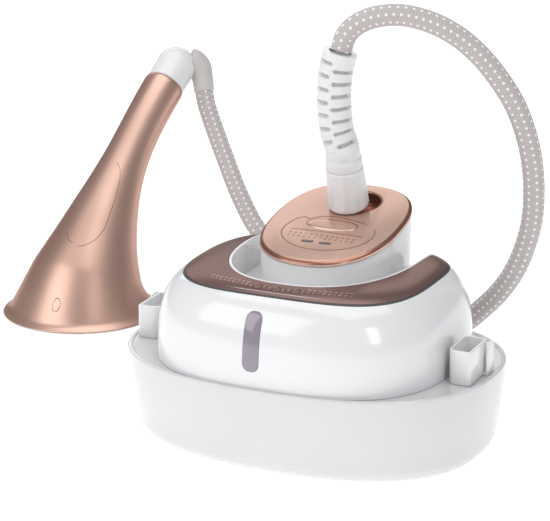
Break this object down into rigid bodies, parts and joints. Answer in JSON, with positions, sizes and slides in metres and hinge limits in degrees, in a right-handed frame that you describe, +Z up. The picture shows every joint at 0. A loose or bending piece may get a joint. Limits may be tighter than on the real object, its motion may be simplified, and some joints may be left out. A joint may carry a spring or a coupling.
{
  "type": "steam generator iron",
  "caption": "Steam station with a docked flat iron head and a separate horn steamer, each fed by a braided hose, with keys, a water window and a filler lid.",
  "frame": {"origin": "centre of the station's underside, on the surface that its feet stand on", "axes": "+X the station's right, +Y its back, where the hoses leave, +Z up"},
  "size_m": [0.6224, 0.543, 0.3864],
  "materials": {
    "gloss_white": "smooth high gloss white plastic",
    "satin_white": "satin white plastic",
    "rose_gold": "satin rose gold metallic paint",
    "mauve_panel": "satin mauve brown metallic paint",
    "dark_grey": "soft dark grey rubber",
    "mid_grey": "moulded grey plastic",
    "black_plastic": "moulded black plastic",
    "smoke_window": "polished smoke violet window plastic",
    "steel": "brushed",
    "brass": "turned",
    "circuit_green": "lacquered circuit board",
    "braid": "braided pale grey pink yarn with white flecks",
    "sleeve_grey": "smooth warm grey moulded rubber",
    "pale_rim": "pale translucent heat resistant plastic"
  },
  "bodies": {
    "station": {"base_tray": "gloss_white", "housing_shell": "gloss_white", "socket_left": "gloss_white", "socket_right": "gloss_white", "dock_liner": "satin_white", "filler_neck": "satin_white", "hose_gland_iron": "satin_white", "hose_gland_horn": "satin_white", "water_tank": "satin_white", "feed_tube": "satin_white", "control_panel": "mauve_panel", "panel_gasket": "dark_grey", "dock_mat": "dark_grey", "foot_front_left": "dark_grey", "foot_front_right": "dark_grey", "foot_rear_left": "dark_grey", "foot_rear_right": "dark_grey", "coil_tie": "dark_grey", "underside_plate": "mid_grey", "pump": "mid_grey", "power_inlet": "black_plastic", "solenoid_valve": "black_plastic", "water_window": "smoke_window", "boiler": "steel", "underside_screw_left": "steel", "underside_screw_right": "steel", "filler_hinge_pin": "steel", "boiler_heater": "brass", "safety_valve": "brass", "steam_pipe_iron": "brass", "steam_pipe_horn": "brass", "control_board": "circuit_green", "iron_hose_tail": "braid", "iron_hose_coil": "braid", "iron_hose_lead": "braid", "horn_hose_coil": "braid", "horn_hose_lead": "braid"},
    "head": {"head_shell": "gloss_white", "head_top_plate": "rose_gold", "head_window_left": "smoke_window", "head_window_right": "smoke_window", "soleplate": "steel", "steam_chamber": "steel", "hose_spigot": "rose_gold", "strain_relief": "gloss_white", "iron_hose": "braid"},
    "horn": {"horn_shell": "rose_gold", "horn_rim": "pale_rim", "horn_steam_plate": "satin_white", "horn_steam_tube": "satin_white", "horn_elbow": "gloss_white", "horn_sleeve": "sleeve_grey", "horn_hose": "braid"},
    "steam_trigger": {"steam_button": "rose_gold"},
    "hose_nut": {"coupling_nut": "gloss_white"},
    "filler_flap": {"filler_lid": "satin_white"},
    "drain_plug": {"descale_plug": "mid_grey"},
    "power_key": {"key_power": "mauve_panel"},
    "steam_key": {"key_steam": "mauve_panel"},
    "mode_key": {"key_mode": "mauve_panel"}
  },
  "joints": [
    {"name": "head_lift", "type": "slide", "parent": "station", "child": "head", "axis": [0, 0, 1], "range_m": [0, 0.05]},
    {"name": "horn_lift", "type": "slide", "parent": "station", "child": "horn", "axis": [0, 0, 1], "range_m": [0, 0.05]},
    {"name": "steam_button_press", "type": "slide", "parent": "head", "child": "steam_trigger", "axis": [0, 0.1867, -0.9824], "range_m": [0, 0.0015], "stiffness_N_per_m": 600},
    {"name": "hose_nut_turn", "type": "hinge", "parent": "head", "child": "hose_nut", "pos_m": [0, 0.074, 0.195], "axis": [0, -0.2588, 0.9659], "range_deg": [0, 90]},
    {"name": "filler_lid_hinge", "type": "hinge", "parent": "station", "child": "filler_flap", "pos_m": [0, -0.0676, 0.138], "axis": [1, 0, 0], "range_deg": [0, 95]},
    {"name": "descale_plug_turn", "type": "hinge", "parent": "station", "child": "drain_plug", "pos_m": [0.062, 0.028, 0.003], "axis": [0, 0, 1], "range_deg": [0, 90]},
    {"name": "key_power_press", "type": "slide", "parent": "station", "child": "power_key", "axis": [0.008, 0.182, -0.9833], "range_m": [0, 0.0008], "stiffness_N_per_m": 500},
    {"name": "key_steam_press", "type": "slide", "parent": "station", "child": "steam_key", "axis": [0, 0.198, -0.9802], "range_m": [0, 0.0008], "stiffness_N_per_m": 500},
    {"name": "key_mode_press", "type": "slide", "parent": "station", "child": "mode_key", "axis": [-0.008, 0.182, -0.9833], "range_m": [0, 0.0008], "stiffness_N_per_m": 500}
  ]
}
